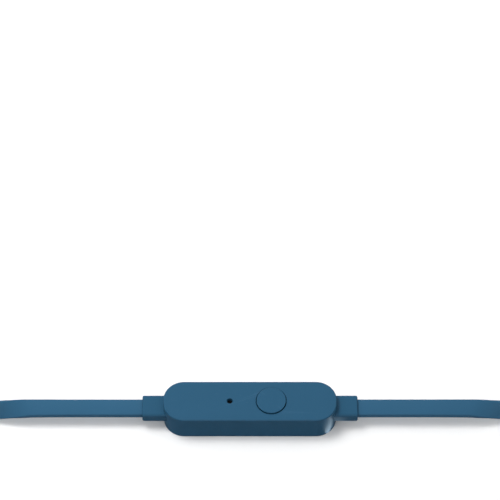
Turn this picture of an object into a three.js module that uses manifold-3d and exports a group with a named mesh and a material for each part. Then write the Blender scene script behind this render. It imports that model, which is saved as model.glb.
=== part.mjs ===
// Wired in-ear earphones with a flat cable and an in-line remote with a button and a microphone.
// Millimetres, +Z up. The origin is the centre of the remote's flat underside, +X runs along the
// cable towards the plug, and everything lies on the plane z = 0.
import * as THREE from 'three';
import { mergeVertices } from 'three/addons/utils/BufferGeometryUtils.js';
import Module from 'manifold-3d';

const wasm = await Module();
wasm.setup();

// ---- driving dimensions ----

// remote housing
const podLength = 36;
const podWidth = 9.4;
const podHeight = 6.6;
const podCornerRadius = 4.3;
const podEdge = 0.35;
const podWall = 0.9;
const podRoof = 0.9;
const coverThickness = 0.9;
const coverRimWall = 0.5; // wall left beside the underside cover
const coverGap = 0.1;

// button and its switch
const buttonX = 4.4;
const buttonRadius = 3.05;
const buttonProud = 0.28;
const buttonGap = 0.15;
const buttonFlangeGap = 0.25; // between the retaining flange and the side walls
const buttonFlangeThickness = 0.5;
const buttonRest = 0.1; // gap between the flange and the roof
const buttonStemRadius = 1;
const switchSize = 4.4;
const switchHeight = 1.15;
const switchWellRadius = 1.7;
const switchFloor = 0.3;
const plungerRadius = 0.8;
const plungerProud = 0.82; // above the switch's body

// microphone
const micX = -4.2;
const micHoleRadius = 0.6;
const micRadius = 2;
const micHeight = 1.5;
const bootWall = 0.6;

// circuit board
const boardEndGap = 1.4; // to the captured flanges
const boardSideGap = 0.45; // to the walls
const boardThickness = 0.8;
const postHeight = 0.7; // that the board stands on, above the cover
const postRadius = 0.6;
const postFromEnd = 1.5; // from the board's end to a post's middle
const postFromSide = 1.2;
const partGap = 0.05; // under the pieces that the board carries
const chipX = -9.2; // the resistor and the capacitor
const chipY = 1.3;

// flat cable, its strain reliefs and conductors
const cableWidth = 3.8;
const cableThickness = 1.3;
const reliefLength = 4.4; // beyond the housing's end
const reliefWidth = 5.05;
const reliefHeight = 2.6;
const reliefDrop = 0.85; // below the roof's underside
const reliefGap = 0.1;
const reliefEdge = 0.3;
const flangeThickness = 1.2;
const flangeRise = 0.55; // how much higher the captured flange is than the window
const flangeFromWall = 1.5; // from the end wall's inner face to the flange's outer face
const flangeSideGap = 0.12; // between the flange and the housing's inner walls
const conductorRadius = 0.3;
const conductorPitch = 0.85;
const faceGap = 0.3; // between a cable's end and the piece that it goes into

// branch cables to the ears
const branchWidth = 2;
const branchThickness = 1.2;
const branchLow = 1.6; // height of the lower branch's middle, on edge
const branchHigh = 3.8;

// hanks: the cable stands on edge in them
const hankBottom = 0.6;
const hankOuterX = 68.2; // middle of the outermost turn at its outer end
const hankBackY = -24.65; // middle of the outermost turn at its back
const hankRadius = 15.1; // of the outermost turn
const hankStraight = 37;
const hankPitch = 1.4;
const hankMargin = 0.05;
const mainTurns = 3.871;
const branchTurns = 2.371;
const tieLength = 4;
const tieWall = 0.5;
const tieGap = 0.25;

// where the left cable splits
const splitterLength = 13.7;
const splitterThickness = 3.6;
const splitterHeight = 5.4;
const splitterStartY = -12.3;
const splitterEdge = 0.8;

// 3.5 mm plug
const plugRadius = 1.75;
const plugHandleRadius = 3;
const plugHandleLength = 16;
const plugReliefLength = 7;
const plugY = -44.57;
const plugStartX = 51.8; // where its strain relief begins, at the cable
const plugRodRadius = 0.6;
const plugBoreRadius = 0.7;

// earpieces, along their own axis: 0 is the seam between the rear cover and the front housing
const earRadius = 5.5;
const earWall = 0.8;
const earRear = 5;
const earSeamGap = 0.05;
const nozzleRadius = 2.1;
const nozzleBore = 1.5;
const nozzleEnd = 10.8;
const tipRadius = 6;
const tipSleeveWall = 0.6;
const tipStart = 6.4;
const tipEnd = 11.8;
const earReliefLength = 4.6;
const earReliefRadius = 1.9;
const earReliefEndRadius = 1.4;
const leftEarStartX = -56.85; // where its strain relief begins, at the branch cable
const rightEarStartX = -12.35;
const earSteps = 18; // faces round an earpiece

// ---- shapes ----

function merge(geometry) {
  geometry.deleteAttribute('normal');
  geometry.deleteAttribute('uv');
  return mergeVertices(geometry, 1e-4);
}

function signedVolume(geometry) {
  const corners = [0, 1, 2].map(() => new THREE.Vector3());
  const position = geometry.attributes.position;
  let sum = 0;
  for (let i = 0; i < geometry.index.count; i += 3) {
    corners.forEach((corner, k) => corner.fromBufferAttribute(position, geometry.index.getX(i + k)));
    sum += corners[0].dot(corners[1].cross(corners[2]));
  }
  return sum / 6;
}

// Merged vertices, with the faces pointing outwards.
function closed(geometry) {
  const merged = merge(geometry);
  if (signedVolume(merged) < 0) {
    const index = merged.index.array;
    for (let i = 0; i < index.length; i += 3) {
      [index[i], index[i + 1]] = [index[i + 1], index[i]];
    }
  }
  return merged;
}

function solid(geometry) {
  const merged = closed(geometry);
  return new wasm.Manifold(new wasm.Mesh({
    numProp: 3,
    vertProperties: new Float32Array(merged.attributes.position.array),
    triVerts: new Uint32Array(merged.index.array),
  }));
}

function toGeometry(manifold) {
  const mesh = manifold.getMesh();
  const geometry = new THREE.BufferGeometry();
  geometry.setAttribute('position', new THREE.BufferAttribute(new Float32Array(mesh.vertProperties), 3));
  geometry.setIndex(new THREE.BufferAttribute(new Uint32Array(mesh.triVerts), 1));
  return geometry;
}

function subtract(body, ...tools) {
  return toGeometry(tools.reduce((left, tool) => left.subtract(solid(tool)), solid(body)));
}

function join(first, ...others) {
  return toGeometry(others.reduce((sum, other) => sum.add(solid(other)), solid(first)));
}

// A rectangle with round corners, drawn on a shape or a path.
function roundedOutline(outline, length, width, radius) {
  const x = length / 2 - radius;
  const y = width / 2 - radius;
  outline.absarc(x, y, radius, 0, Math.PI / 2);
  outline.absarc(-x, y, radius, Math.PI / 2, Math.PI);
  outline.absarc(-x, -y, radius, Math.PI, 1.5 * Math.PI);
  outline.absarc(x, -y, radius, 1.5 * Math.PI, 2 * Math.PI);
  outline.closePath();
  return outline;
}

// A block with round corners in plan, standing on z = bottom.
function roundedBlock(length, width, radius, bottom, top, edge = 0, arcSteps = 7) {
  const geometry = new THREE.ExtrudeGeometry(roundedOutline(new THREE.Shape(), length, width, radius), {
    depth: top - bottom - 2 * edge,
    curveSegments: arcSteps,
    bevelEnabled: edge > 0,
    bevelThickness: edge,
    bevelSize: edge,
    bevelOffset: -edge,
    bevelSegments: 2,
  });
  return geometry.translate(0, 0, bottom + edge);
}

function box(lowX, highX, lowY, highY, lowZ, highZ) {
  const geometry = new THREE.BoxGeometry(highX - lowX, highY - lowY, highZ - lowZ);
  return geometry.translate((lowX + highX) / 2, (lowY + highY) / 2, (lowZ + highZ) / 2);
}

// A profile of [radius, height] pairs turned round the Z axis. A ring's profile closes on itself.
function turned(profile, steps = 24, ring = false) {
  const points = profile.map(([radius, height]) => new THREE.Vector2(radius, height));
  if (ring) {
    points.push(points[0].clone());
  }
  return new THREE.LatheGeometry(points, steps).rotateX(Math.PI / 2);
}

function disc(radius, bottom, top, steps = 24) {
  return turned([[0, bottom], [radius, bottom], [radius, top], [0, top]], steps);
}

// The same, about the X axis, for pieces that lie down: profiles are [radius, distance along X].
function lying(geometry) {
  return geometry.rotateY(Math.PI / 2);
}

// A block along X with round edges on its four long sides.
function bar(lowX, highX, width, height, middleZ, edge) {
  const outline = roundedOutline(new THREE.Shape(), height, width, edge);
  const geometry = new THREE.ExtrudeGeometry(outline, {
    depth: highX - lowX,
    curveSegments: 3,
    bevelEnabled: false,
  });
  return geometry.rotateY(Math.PI / 2).translate(lowX, 0, middleZ);
}

// A route through [x, y, z, roll] points. Roll turns a flat cable from lying flat, 0, to on edge, 90.
class CableRoute extends THREE.CatmullRomCurve3 {
  constructor(stations) {
    super(stations.map(([x, y, z]) => new THREE.Vector3(x, y, z)));
    this.rolls = stations.map((station) => THREE.MathUtils.degToRad(station[3]));
  }

  rollAt(u) {
    const place = this.getUtoTmapping(u) * (this.rolls.length - 1);
    const before = Math.min(Math.floor(place), this.rolls.length - 2);
    return THREE.MathUtils.lerp(this.rolls[before], this.rolls[before + 1], place - before);
  }

  computeFrenetFrames(segments) {
    const frames = { tangents: [], normals: [], binormals: [] };
    for (let i = 0; i <= segments; i += 1) {
      const tangent = this.getTangentAt(i / segments);
      const side = new THREE.Vector3(0, 0, 1).cross(tangent).normalize();
      const normal = side.applyAxisAngle(tangent, this.rollAt(i / segments));
      frames.tangents.push(tangent);
      frames.normals.push(normal);
      frames.binormals.push(tangent.clone().cross(normal));
    }
    return frames;
  }
}

function flatCable(stations, width, thickness, steps) {
  const cut = thickness / 4;
  const x = width / 2;
  const y = thickness / 2;
  const section = new THREE.Shape([
    [x, -y + cut], [x, y - cut], [x - cut, y], [-x + cut, y],
    [-x, y - cut], [-x, -y + cut], [-x + cut, -y], [x - cut, -y],
  ].map(([a, b]) => new THREE.Vector2(a, b)));
  return new THREE.ExtrudeGeometry(section, {
    steps,
    bevelEnabled: false,
    extrudePath: new CableRoute(stations),
  });
}

function mirrored(stations) {
  return stations.map(([x, y, z, roll]) => [-x, y, z, -roll]);
}

// ---- the object ----

const earphones = new THREE.Group();

function add(name, geometry, colour, roughness, metalness = 0) {
  const material = new THREE.MeshStandardMaterial({ color: colour, roughness, metalness });
  const mesh = new THREE.Mesh(closed(geometry), material);
  mesh.name = name;
  earphones.add(mesh);
  return mesh;
}

const navy = 0x325f7e;
const cableNavy = 0x386584;
const steel = 0xc4c6c8;
const gold = 0xd2ac63;
const black = 0x1c1f22;
const boardGreen = 0x1f5a3a;
const tipGrey = 0x3a4046;
const chipTan = 0x9c7a55;
const paperGrey = 0xb9b9ae;

// ---- remote ----

const roofUnderside = podHeight - podRoof;
const cavityRadius = podCornerRadius - podWall;
const flangeInset = podWall + flangeFromWall;
const flangeWidth = podWidth - 2 * (podWall + cavityRadius + flangeSideGap)
  + 2 * Math.sqrt(cavityRadius ** 2 - (cavityRadius - flangeFromWall) ** 2);
const reliefMiddle = roofUnderside - reliefDrop - reliefHeight / 2;
const boardLength = podLength - 2 * (flangeInset + flangeThickness + boardEndGap);
const boardWidth = podWidth - 2 * (podWall + boardSideGap);
const boardBottom = coverThickness + postHeight;
const boardTop = boardBottom + boardThickness;
const switchBottom = boardTop + partGap;
const wellFloor = switchBottom + switchFloor;
const switchTop = switchBottom + switchHeight;
const plungerTop = switchTop + plungerProud;
const windowHeight = reliefHeight + 2 * reliefGap;
const windowWidth = reliefWidth + 2 * reliefGap;

function upperShell() {
  const outer = roundedBlock(podLength, podWidth, podCornerRadius, 0, podHeight, podEdge, 9);
  const below = -1;
  const cavity = roundedBlock(
    podLength - 2 * podWall, podWidth - 2 * podWall, cavityRadius, below, roofUnderside);
  const rebate = roundedBlock(
    podLength - 2 * coverRimWall, podWidth - 2 * coverRimWall, podCornerRadius - coverRimWall,
    below, coverThickness);
  const buttonHole = disc(buttonRadius + buttonGap, podHeight - 2 * podRoof, podHeight + 1, 40);
  const micHole = disc(micHoleRadius, podHeight - 2 * podRoof, podHeight + 1, 16);
  const windows = bar(-podLength, podLength, windowWidth, windowHeight, reliefMiddle, reliefEdge);
  return subtract(outer, cavity, rebate, buttonHole.translate(buttonX, 0, 0),
    micHole.translate(micX, 0, 0), windows);
}

// A plate let into the underside, with four posts that hold the board up and four friction tabs.
function lowerCover() {
  const inset = 2 * (coverRimWall + coverGap);
  const plate = roundedBlock(
    podLength - inset, podWidth - inset, podCornerRadius - coverRimWall - coverGap,
    0, coverThickness - 0.05);
  const tabLength = 3;
  const tabThickness = 0.5;
  const tabTop = boardBottom - 0.1;
  const tabY = podWidth / 2 - podWall - 0.05;
  const inner = coverThickness / 2;
  const extras = [];
  for (const sideX of [-1, 1]) {
    for (const sideY of [-1, 1]) {
      const post = disc(postRadius, inner, boardBottom - 0.05, 12);
      const postX = boardLength / 2 - postFromEnd;
      const postY = boardWidth / 2 - postFromSide;
      extras.push(post.translate(sideX * postX, sideY * postY, 0));
      const tabMiddle = sideY * (tabY - tabThickness / 2);
      const tabX = sideX * (podLength / 4);
      extras.push(box(tabX - tabLength / 2, tabX + tabLength / 2,
        tabMiddle - tabThickness / 2, tabMiddle + tabThickness / 2, inner, tabTop));
    }
  }
  return join(plate, ...extras);
}

function buttonCap() {
  const top = podHeight + buttonProud;
  const flangeTop = roofUnderside - buttonRest;
  const flangeBottom = flangeTop - buttonFlangeThickness;
  const flangeRadius = podWidth / 2 - podWall - buttonFlangeGap;
  return turned([
    [0, plungerTop + 0.08], [buttonStemRadius, plungerTop + 0.08], [buttonStemRadius, flangeBottom],
    [flangeRadius, flangeBottom], [flangeRadius, flangeTop], [buttonRadius, flangeTop],
    [buttonRadius, top - 0.15], [buttonRadius - 0.15, top], [0, top],
  ], 36);
}

function reliefSolid() {
  const end = podLength / 2;
  const flangeFace = end - flangeInset;
  const collar = bar(flangeFace - 0.1, end + reliefLength, reliefWidth, reliefHeight,
    reliefMiddle, reliefEdge);
  const flange = bar(flangeFace - flangeThickness, flangeFace, flangeWidth,
    windowHeight + flangeRise, reliefMiddle, reliefEdge);
  return join(collar, flange);
}

function switchBase() {
  const half = switchSize / 2;
  return subtract(box(-half, half, -half, half, switchBottom, switchTop),
    disc(switchWellRadius, wellFloor, switchTop + 1));
}

function switchDome() {
  const rise = 0.3;
  const sheet = 0.1;
  const rim = switchWellRadius - 0.1;
  const outer = [];
  const inner = [];
  const steps = 4;
  for (let i = 0; i <= steps; i += 1) {
    const radius = rim * i / steps;
    const height = wellFloor + rise * (1 - (i / steps) ** 2);
    outer.push([radius, height + sheet]);
    inner.push([radius, height + 0.01]);
  }
  return turned([...inner, ...outer.reverse()], 20);
}

function switchPlunger() {
  const flangeBottom = wellFloor + 0.45;
  const flangeTop = switchTop - 0.15;
  return turned([
    [0, flangeBottom], [switchWellRadius - 0.3, flangeBottom], [switchWellRadius - 0.3, flangeTop],
    [plungerRadius, flangeTop], [plungerRadius, plungerTop], [0, plungerTop],
  ], 20);
}

function switchCoverPlate() {
  const sheet = 0.12;
  const half = switchSize / 2;
  const low = switchTop + 0.03;
  const leg = half + 0.03;
  const plate = box(-half, half, -leg - sheet, leg + sheet, low, low + sheet);
  const legs = [-1, 1].map((side) => {
    const edges = [side * leg, side * (leg + sheet)].sort((a, b) => a - b);
    return box(-half / 2, half / 2, edges[0], edges[1], switchBottom + 0.1, low + sheet / 2);
  });
  return subtract(join(plate, ...legs), disc(plungerRadius + 0.15, low - 1, low + 1, 20));
}

function microphoneBoot() {
  const low = boardTop + partGap;
  const canTop = low + partGap + micHeight;
  const inner = micRadius + partGap;
  const meshSeat = roofUnderside - 0.3;
  return turned([
    [inner, low], [inner + bootWall, low], [inner + bootWall, roofUnderside - 0.05],
    [micHoleRadius + 1, roofUnderside - 0.05], [micHoleRadius + 1, meshSeat],
    [micHoleRadius + 0.1, meshSeat], [micHoleRadius + 0.1, canTop + 0.05], [inner, canTop + 0.05],
  ], 24, true);
}

function microphoneCan() {
  const low = boardTop + 2 * partGap;
  return turned([
    [0, low], [micRadius - 0.2, low], [micRadius, low + 0.2], [micRadius, low + micHeight - 0.15],
    [micRadius - 0.15, low + micHeight], [0, low + micHeight],
  ], 24);
}

function conductor(side, offset) {
  const start = side * (podLength / 2 - flangeInset - flangeThickness - 0.1);
  const end = side * (boardLength / 2 - 0.9);
  const landing = boardTop + conductorRadius + partGap;
  const route = new THREE.CatmullRomCurve3([
    new THREE.Vector3(start, offset, reliefMiddle),
    new THREE.Vector3(start - side * 0.7, offset, reliefMiddle - 0.15),
    new THREE.Vector3((start + end) / 2 - side * 0.2, offset, (reliefMiddle + landing) / 2 - 0.1),
    new THREE.Vector3(end + side * 0.3, offset, landing),
    new THREE.Vector3(end - side * 0.6, offset, landing),
  ]);
  const section = new THREE.Shape();
  section.absarc(0, 0, conductorRadius, 0, 2 * Math.PI);
  return new THREE.ExtrudeGeometry(section, {
    steps: 7,
    curveSegments: 6,
    bevelEnabled: false,
    extrudePath: route,
  });
}

function addRemote() {
  add('upper_shell', upperShell(), navy, 0.42);
  add('lower_cover', lowerCover(), navy, 0.45);
  add('button_cap', buttonCap(), navy, 0.42).position.x = buttonX;
  add('left_strain_relief', reliefSolid().rotateZ(Math.PI), navy, 0.5);
  add('right_strain_relief', reliefSolid(), navy, 0.5);
  add('circuit_board', roundedBlock(boardLength, boardWidth, 0.8, boardBottom, boardTop, 0, 3),
    boardGreen, 0.5);
  add('switch_base', switchBase(), black, 0.6).position.x = buttonX;
  add('switch_dome', switchDome(), steel, 0.3, 1).position.x = buttonX;
  add('switch_plunger', switchPlunger(), black, 0.5).position.x = buttonX;
  add('switch_cover_plate', switchCoverPlate(), steel, 0.35, 1).position.x = buttonX;
  add('microphone_can', microphoneCan(), steel, 0.3, 1).position.x = micX;
  add('microphone_boot', microphoneBoot(), black, 0.8).position.x = micX;
  add('microphone_mesh', disc(micHoleRadius + 0.9, roofUnderside - 0.25, roofUnderside - 0.13, 20),
    black, 0.9).position.x = micX;
  const chip = () => box(-0.5, 0.5, -0.3, 0.3, boardTop + partGap, boardTop + partGap + 0.4);
  add('resistor', chip(), black, 0.5).position.set(chipX, chipY, 0);
  add('capacitor', chip(), chipTan, 0.5).position.set(chipX, -chipY, 0);
  ['left', 'right', 'ground', 'microphone'].forEach((signal, i) => {
    add(`${signal}_wire_to_plug`, conductor(1, (i - 1.5) * conductorPitch), gold, 0.4, 0.8);
  });
  ['left', 'right', 'ground'].forEach((signal, i) => {
    add(`${signal}_wire_to_ears`, conductor(-1, (i - 1) * conductorPitch), gold, 0.4, 0.8);
  });
}

// ---- cables that are not wound ----

const reliefEnd = podLength / 2 + reliefLength;
const mainOnEdge = hankBottom + cableWidth / 2;

// From a strain relief straight out, then over onto its edge and round the corner to the hank.
const runOut = [
  [reliefEnd + faceGap, 0, 3.5, 0],
  [30, 0, 3.5, 0],
  [38, 0, 3.5, 0],
  [45.5, 0, 3.45, 4],
  [49, 0, 3.25, 25],
  [52.5, 0, 2.9, 50],
  [55.8, 0, 2.55, 75],
  [59.2, 0, 2.5, 90],
  [62.64, -0.69, 2.5, 90],
  [65.56, -2.64, 2.5, 90],
  [67.51, -5.56, 2.5, 90],
  [68.2, -9, 2.5, 90],
];
// Down to the hank's outer round end.
const runDown = [
  [68.2, -16, 2.5, 90],
  [68.2, -24, 2.5, 90],
  [68.2, -32.9, 2.5, 90],
];

function addCableRuns() {
  const toSplitter = [...runOut, [hankOuterX, splitterStartY + faceGap, mainOnEdge, 90]];
  add('right_cable', flatCable([...runOut, ...runDown], cableWidth, cableThickness, 26), cableNavy, 0.5);
  add('left_cable', flatCable(mirrored(toSplitter), cableWidth, cableThickness, 20), cableNavy, 0.5);
}

// ---- hanks ----

const hankMiddleY = hankBackY - hankRadius;
const hankOuterEndX = hankOuterX - hankRadius; // middle of the outer round end
const hankMiddleX = hankOuterEndX - hankStraight / 2;

// The outer shape of the turns: a band with round ends, open in the middle.
function hankRing(turns, thickness, height) {
  const outer = hankRadius + thickness / 2;
  const inner = hankRadius - turns * hankPitch - thickness / 2 - hankMargin;
  const outline = roundedOutline(new THREE.Shape(), hankStraight + 2 * outer, 2 * outer, outer);
  outline.holes.push(roundedOutline(new THREE.Path(), hankStraight + 2 * inner, 2 * inner, inner));
  const geometry = new THREE.ExtrudeGeometry(outline, {
    depth: height,
    curveSegments: 10,
    bevelEnabled: false,
  });
  return geometry.translate(hankMiddleX, hankMiddleY, hankBottom);
}

// The plug's end of the main cable, off the innermost turn.
const plugLead = [
  [49.2, -30.07, 2.5, 90],
  [53.1, -30.07, 2.5, 90],
  [56.73, -31.04, 2.55, 90],
  [59.38, -33.7, 2.65, 90],
  [60.35, -37.32, 2.65, 90],
  [59.38, -40.94, 2.75, 90],
  [56.73, -43.6, 2.9, 90],
  [53.1, -44.57, 3, 90],
  [plugStartX + faceGap, plugY, plugHandleRadius, 90],
];

// The ear ends of the branches: one leaves at the outer round end, the other at the inner one.
const outerEarLead = [
  [49.2, -27.27, 1.6, 90],
  [53.1, -27.27, 1.6, 90],
  [57.92, -28.23, 2.1, 90],
  [61.5, -30.75, 2.9, 90],
  [63.1, -34.6, 3.9, 90],
  [61.9, -38, 5, 90],
  [59.1, -39.7, 5.9, 90],
  [57.15, -39.75, 6, 90],
];
const innerEarLead = [
  [20, -51.53, 3.8, 90],
  [16.1, -51.53, 3.8, 90],
  [11.28, -50.6, 4.1, 90],
  [7.7, -48.25, 4.6, 90],
  [6.1, -44.9, 5.1, 90],
  [7.3, -41.5, 5.6, 90],
  [10.1, -39.8, 6, 90],
  [12.05, -39.75, 6, 90],
];

function tie(lowInner, highInner, backY, frontY) {
  const low = lowInner - tieWall;
  const high = highInner + tieGap + tieWall;
  const width = backY - frontY + 2 * (tieGap + tieWall);
  const outer = bar(-tieLength / 2, tieLength / 2, width, high - low, (low + high) / 2, 0.5);
  const innerHigh = highInner + tieGap;
  const opening = bar(-tieLength, tieLength, width - 2 * tieWall, innerHigh - lowInner,
    (lowInner + innerHigh) / 2, 0.15);
  return subtract(outer, opening).translate(0, (backY + frontY) / 2, 0);
}

function addTies(names, side, turns, thickness, height) {
  const depth = turns * hankPitch + thickness + hankMargin;
  const backY = hankBackY + thickness / 2;
  const frontY = hankMiddleY - hankRadius - thickness / 2;
  const low = hankBottom - 0.1;
  const high = hankBottom + height;
  const back = add(names[0], tie(low, high, backY, backY - depth), black, 0.7);
  const front = add(names[1], tie(low, high, frontY + depth, frontY), black, 0.7);
  back.position.x = side * hankMiddleX;
  front.position.x = side * hankMiddleX;
}

function addHanks() {
  const mainHeight = cableWidth + hankMargin;
  const branchHeight = branchHigh + branchWidth / 2 - hankBottom + hankMargin;
  const lead = flatCable(plugLead, cableWidth, cableThickness, 14);
  add('main_hank', join(hankRing(mainTurns, cableThickness, mainHeight), lead), cableNavy, 0.5);

  const half = branchThickness / 2;
  const splitterEndY = splitterStartY - splitterLength;
  const column = box(hankOuterX - half, hankOuterX + half, hankMiddleY, splitterEndY - faceGap,
    hankBottom, hankBottom + branchHeight);
  const outerLead = flatCable(outerEarLead, branchWidth, branchThickness, 16);
  const innerLead = flatCable(innerEarLead, branchWidth, branchThickness, 16);
  const pair = join(hankRing(branchTurns, branchThickness, branchHeight), column, outerLead, innerLead);
  add('branch_hank', pair.scale(-1, 1, 1), cableNavy, 0.5);

  addTies(['main_tie_back', 'main_tie_front'], 1, mainTurns, cableThickness, mainHeight);
  addTies(['branch_tie_back', 'branch_tie_front'], -1, branchTurns, branchThickness, branchHeight);
}

function addSplitter() {
  const block = roundedBlock(splitterThickness, splitterLength, splitterThickness / 2 - 0.2,
    0, splitterHeight, splitterEdge, 4);
  const middle = splitterStartY - splitterLength / 2;
  add('cable_splitter', block, navy, 0.45).position.set(-hankOuterX, middle, 0);
}

// ---- plug ----

// Profiles run from the cable's end, 0, to the tip.
function addPlug() {
  const collarLength = 1.2;
  const neck = 0.05;
  const handleStart = plugReliefLength + neck;
  const handleEnd = handleStart + plugHandleLength;
  const metalStart = handleEnd + neck;
  const reliefTip = 2.1;
  const place = (name, geometry, colour, roughness, metalness) => {
    const mesh = add(name, lying(geometry), colour, roughness, metalness);
    mesh.rotation.z = Math.PI;
    mesh.position.set(plugStartX, plugY, plugHandleRadius);
  };
  place('plug_strain_relief', turned([
    [0, 0], [reliefTip, 0], [2.2, 2], [2.5, plugReliefLength], [0, plugReliefLength],
  ], 20), navy, 0.5);
  place('plug_handle', turned([
    [0, handleStart], [plugHandleRadius - 0.5, handleStart], [plugHandleRadius, handleStart + 0.6],
    [plugHandleRadius, handleEnd - 1.6], [plugHandleRadius - 0.4, handleEnd - 0.4],
    [plugHandleRadius - 0.8, handleEnd], [0, handleEnd],
  ], 28), navy, 0.4);
  const bands = [
    ['plug_collar', collarLength, plugRadius + 0.5, steel],
    ['plug_sleeve', 4.6, plugRadius, gold],
    ['plug_insulator_base', 0.6, plugRadius - 0.03, black],
    ['plug_ring_inner', 1.9, plugRadius, gold],
    ['plug_insulator_middle', 0.6, plugRadius - 0.03, black],
    ['plug_ring_outer', 1.9, plugRadius, gold],
    ['plug_insulator_tip', 0.6, plugRadius - 0.03, black],
  ];
  let start = metalStart;
  for (const [name, length, radius, colour] of bands) {
    const end = start + length;
    place(name, turned([
      [plugBoreRadius, start], [radius, start], [radius, end - 0.02], [plugBoreRadius, end - 0.02],
    ], 20, true), colour, 0.25, colour === black ? 0 : 1);
    start = end;
  }
  place('plug_tip', turned([
    [0, metalStart], [plugRodRadius, metalStart], [plugRodRadius, start], [plugRadius, start],
    [plugRadius, start + 0.5], [1.2, start + 1.2], [1.2, start + 1.4], [1.6, start + 2],
    [1.45, start + 2.7], [0.7, start + 3.6], [0, start + 3.7],
  ], 20), gold, 0.25, 1);
}

// ---- earpieces ----

function earRearCover() {
  const inner = earRadius - earWall;
  return turned([
    [0, -earRear], [2.2, -earRear + 0.1], [4, -earRear + 0.9], [5, -earRear + 2.1],
    [earRadius, -earRear + 3.6], [earRadius, -earSeamGap], [inner, -earSeamGap],
    [inner, -earRear + 3.6], [4.2, -earRear + 2.4], [3.2, -earRear + 1.5],
    [0, -earRear + earWall],
  ], earSteps);
}

function earFrontHousing() {
  const inner = earRadius - earWall;
  return turned([
    [inner, earSeamGap], [earRadius, earSeamGap], [earRadius, 1.8], [5.1, 2.9], [4.1, 3.9],
    [2.7, 4.7], [nozzleRadius, 5.4], [nozzleRadius, nozzleEnd - 1.2],
    [nozzleRadius + 0.2, nozzleEnd - 0.7], [nozzleRadius, nozzleEnd], [nozzleBore, nozzleEnd],
    [nozzleBore, 4.6], [3.2, 3.6], [inner, 1.9],
  ], earSteps, true);
}

function earTip() {
  const sleeve = nozzleRadius + 0.3;
  return turned([
    [sleeve, tipStart - 0.4], [sleeve + tipSleeveWall, tipStart - 0.4],
    [sleeve + tipSleeveWall, tipEnd - 1.6], [4.1, tipEnd - 1.9], [5.1, tipEnd - 3],
    [5.5, tipEnd - 4.4], [5.5, tipStart - 1], [tipRadius, tipStart - 1.2],
    [tipRadius, tipStart + 0.6], [5.6, tipEnd - 2.6], [4.6, tipEnd - 1.1], [3.4, tipEnd - 0.2],
    [sleeve + 0.2, tipEnd], [sleeve, tipEnd - 0.3],
  ], earSteps, true);
}

function addEarpiece(name, towards, startX) {
  const frameOuter = earRadius - earWall - 0.15;
  const place = (part, geometry, colour, roughness, metalness) => {
    const mesh = add(`${name}_${part}`, lying(geometry), colour, roughness, metalness);
    mesh.rotation.z = towards > 0 ? 0 : Math.PI;
    const height = Math.max(tipRadius, earRadius);
    mesh.position.set(startX + towards * (earReliefLength + earRear), hankMiddleY, height);
  };
  place('strain_relief', turned([
    [0, -earRear - earReliefLength], [earReliefEndRadius, -earRear - earReliefLength],
    [earReliefRadius, -earRear - 0.05], [0, -earRear - 0.05],
  ], 16), black, 0.6);
  place('rear_cover', earRearCover(), navy, 0.4);
  place('front_housing', earFrontHousing(), navy, 0.4);
  place('driver_frame', turned([
    [3.5, -0.8], [frameOuter, -0.8], [frameOuter, 1.2], [4, 1.2], [3.5, 0.4],
  ], earSteps, true), black, 0.5);
  place('driver_magnet', disc(3.2, -1.4, 0.2, earSteps), steel, 0.35, 1);
  place('driver_diaphragm', turned([
    [0, 2.1], [1.8, 1.8], [3.9, 1.35], [3.9, 1.25], [1.8, 1.6], [0, 1.9],
  ], earSteps), paperGrey, 0.3);
  place('nozzle_mesh', disc(nozzleBore - 0.1, nozzleEnd - 0.4, nozzleEnd - 0.25, 20), steel, 0.5, 1);
  place('tip', earTip(), tipGrey, 0.6);
}

addRemote();
addCableRuns();
addSplitter();
addHanks();
addPlug();
addEarpiece('left_ear', 1, leftEarStartX);
addEarpiece('right_ear', -1, rightEarStartX);

export default earphones;
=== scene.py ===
from math import atan, cos, pi, radians, sin, sqrt

import bmesh
import bpy
import numpy as np
from mathutils import Matrix, Vector


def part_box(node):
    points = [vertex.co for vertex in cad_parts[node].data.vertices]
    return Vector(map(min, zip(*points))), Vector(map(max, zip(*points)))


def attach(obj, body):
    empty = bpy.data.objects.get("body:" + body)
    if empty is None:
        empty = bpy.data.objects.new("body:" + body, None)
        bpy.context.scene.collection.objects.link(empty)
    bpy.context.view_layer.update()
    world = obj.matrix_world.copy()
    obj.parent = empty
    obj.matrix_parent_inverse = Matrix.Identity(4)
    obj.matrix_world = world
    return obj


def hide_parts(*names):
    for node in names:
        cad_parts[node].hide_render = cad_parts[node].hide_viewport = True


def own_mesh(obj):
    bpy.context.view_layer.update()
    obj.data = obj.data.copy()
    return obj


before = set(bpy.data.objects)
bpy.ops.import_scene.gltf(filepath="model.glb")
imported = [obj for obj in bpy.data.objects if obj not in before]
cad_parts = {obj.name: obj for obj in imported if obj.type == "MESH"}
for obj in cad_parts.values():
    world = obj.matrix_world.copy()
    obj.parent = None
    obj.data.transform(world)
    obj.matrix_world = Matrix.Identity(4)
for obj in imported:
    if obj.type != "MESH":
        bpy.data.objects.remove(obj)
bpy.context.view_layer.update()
mm = 0.001
print("frame loaded")


# camera: a long lens that looks down along the remote's short side

view = {
    "elevation": 59.5,
    "lens": 200,
    "sensor": 36,
    "width": 103.7,  # millimetres across the view at the remote
    "below": 0.3017,  # how far the remote's top is below the middle, as a share of the view
}


def makeCamera():
    data = bpy.data.cameras.new("camera")
    data.lens = view["lens"]
    data.sensor_width = view["sensor"]
    camera = bpy.data.objects.new("camera", data)
    bpy.context.scene.collection.objects.link(camera)
    spread = view["sensor"] / view["lens"]
    tilt = atan(view["below"] * spread)
    distance = view["width"] * mm / spread / cos(tilt)
    elevation = radians(view["elevation"])
    topMiddle = Vector((0, 0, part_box("upper_shell")[1].z))
    camera.location = topMiddle + distance * Vector((0, -cos(elevation), sin(elevation)))
    camera.rotation_euler = (pi / 2 - elevation + tilt, 0, 0)
    bpy.context.scene.camera = camera


makeCamera()


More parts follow.
